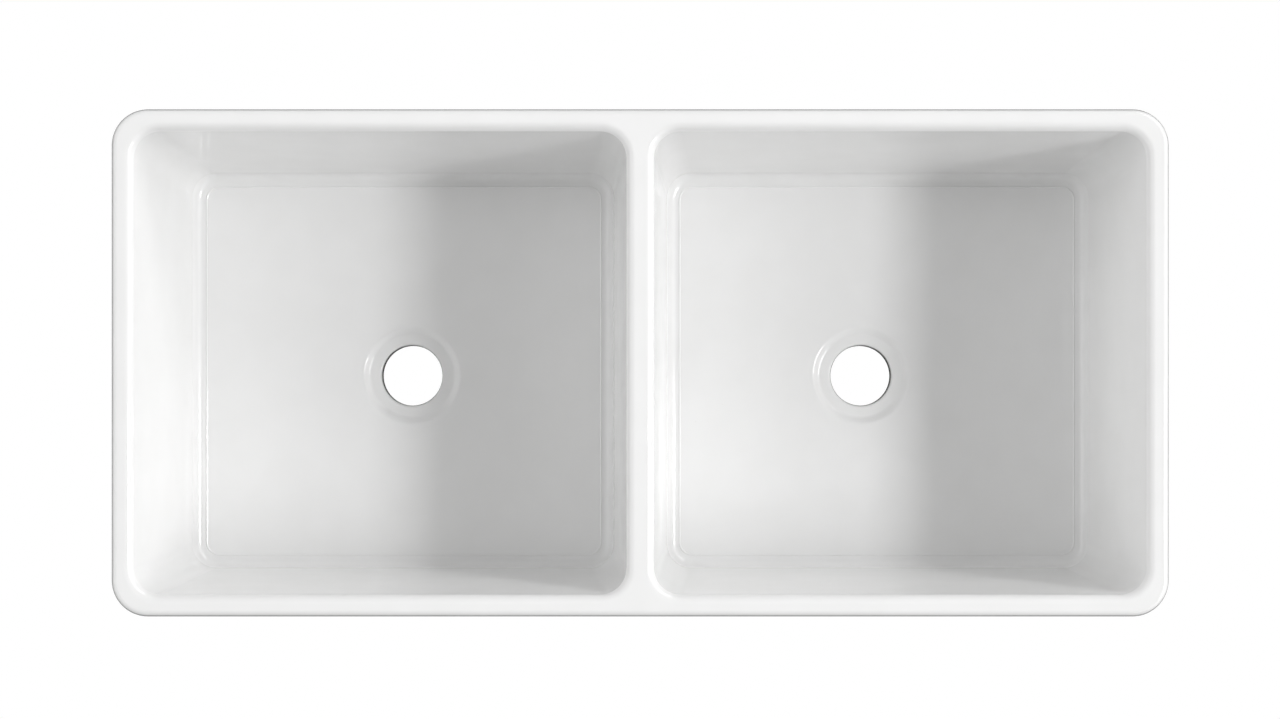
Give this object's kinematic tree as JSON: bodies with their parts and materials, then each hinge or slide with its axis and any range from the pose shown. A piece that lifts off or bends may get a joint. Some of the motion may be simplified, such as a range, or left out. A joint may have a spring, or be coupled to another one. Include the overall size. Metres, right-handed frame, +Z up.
{
  "type": "double bowl kitchen sink",
  "caption": "White glazed fireclay kitchen sink with side by side square bowls, a low divider, coved corners and recessed round outlets.",
  "frame": {"origin": "centre of the footprint, on the plane of the foot that the sink stands on", "axes": "+X along the sink's length to the right-hand bowl, +Y from the front to the back, +Z up from the foot to the rim"},
  "size_m": [0.99, 0.475, 0.25],
  "materials": {
    "glazed_clay": "gloss"
  },
  "bodies": {
    "root": {"front_wall": "glazed_clay", "back_wall": "glazed_clay", "left_end_wall": "glazed_clay", "right_end_wall": "glazed_clay", "centre_divider": "glazed_clay", "left_floor": "glazed_clay", "right_floor": "glazed_clay", "left_outlet": "glazed_clay", "right_outlet": "glazed_clay"}
  },
  "joints": []
}
